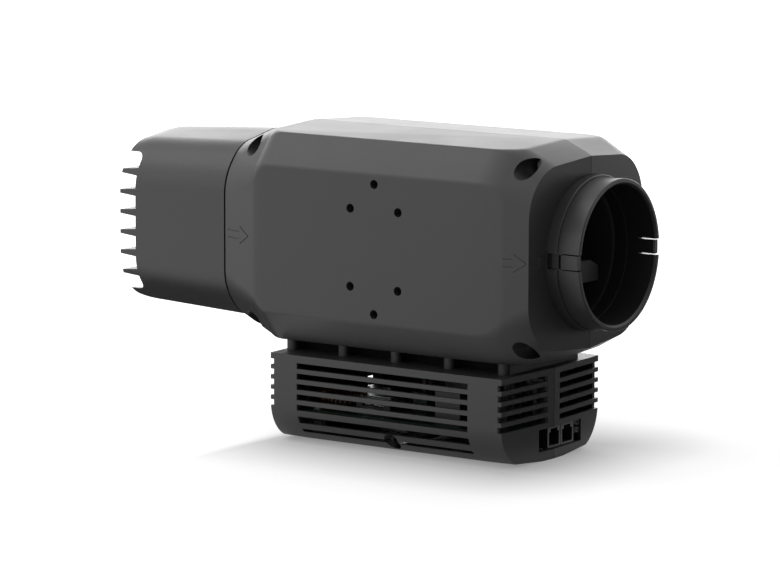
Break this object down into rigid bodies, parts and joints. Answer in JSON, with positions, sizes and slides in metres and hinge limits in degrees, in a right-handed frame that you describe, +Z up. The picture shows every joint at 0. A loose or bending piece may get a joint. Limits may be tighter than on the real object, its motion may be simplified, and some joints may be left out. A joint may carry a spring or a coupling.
{
  "type": "inline electric warm-air heater",
  "caption": "Inline electric air heater for a camper: ducted fan and heating element in a faceted housing above a louvred control box.",
  "frame": {"origin": "middle of the outline, at the height of the face it stands on", "axes": "+X along the duct towards the outlet spigot, +Y to the far half, +Z up"},
  "size_m": [0.292, 0.1174, 0.1703],
  "materials": {
    "housing_plastic": "fine spark-eroded texture, satin black",
    "hood_plastic": "fine spark-eroded texture, satin black",
    "spigot_plastic": "smooth black, soft sheen",
    "box_plastic": "fine texture, satin black",
    "standoff_plastic": "satin black",
    "duct_plastic": "smooth black, heat resistant",
    "foam": "closed-cell foam",
    "fan_plastic": "moulded black",
    "steel": "zinc-plated steel",
    "brass": "machined brass",
    "copper": "enamelled copper wire",
    "magnet": "bonded ferrite",
    "ceramic": "ceramic in aluminium foil",
    "fin_metal": "thin bare sheet",
    "heater_plastic": "glass-filled, heat resistant",
    "wire_jacket": "red silicone jacket",
    "board_green": "solder mask",
    "sink_black": "black anodised, extruded",
    "can_metal": "capacitor cans",
    "transformer_core": "laminated core with taped coil",
    "relay_plastic": "black moulded case",
    "terminal_grey": "dark grey moulded block",
    "fuse_glass": "glass tube with metal caps",
    "socket_grey": "grey moulded",
    "contact_gold": "gold-plated wire",
    "lamp_lens": "milky lens",
    "switch_black": "black moulded",
    "button_grey": "light grey moulded",
    "cutout_body": "dark phenolic"
  },
  "bodies": {
    "casing": {"housing_near": "housing_plastic", "housing_far": "housing_plastic", "housing_screws": "steel", "thread_inserts": "brass", "stand_screws": "steel", "inlet_hood": "hood_plastic", "outlet_collar": "spigot_plastic", "air_duct": "duct_plastic", "outlet_seal": "foam", "inlet_seal": "foam", "fan_frame": "fan_plastic", "fan_bearings": "steel", "motor_winding": "copper", "heater_frame": "heater_plastic", "heater_elements": "ceramic", "heater_fins": "fin_metal", "heater_terminals": "brass", "heater_leads": "wire_jacket", "thermal_cutout": "cutout_body", "sensor_bracket": "duct_plastic", "air_sensor": "cutout_body", "standoff": "standoff_plastic", "box_near": "box_plastic", "box_far": "box_plastic", "box_screw": "steel", "circuit_board": "board_green", "board_screws": "steel", "transformer": "transformer_core", "relays": "relay_plastic", "capacitors": "can_metal", "heat_sink": "sink_black", "choke": "copper", "terminal_block": "terminal_grey", "fuse_holder": "switch_black", "glass_fuse": "fuse_glass", "end_shield": "switch_black", "socket_one": "socket_grey", "socket_two": "socket_grey", "socket_contacts": "contact_gold", "status_light": "lamp_lens", "button_switch": "switch_black"},
    "fan": {"fan_impeller": "fan_plastic", "magnet_ring": "magnet", "fan_shaft": "steel"},
    "button": {"service_button": "button_grey"}
  },
  "joints": [
    {"name": "fan_spin", "type": "hinge", "parent": "casing", "child": "fan", "pos_m": [-0.044, 0, 0.112], "axis": [1, 0, 0], "continuous": true},
    {"name": "button_press", "type": "slide", "parent": "casing", "child": "button", "axis": [-1, 0, 0], "range_m": [0, 0.0005], "stiffness_N_per_m": 300}
  ]
}
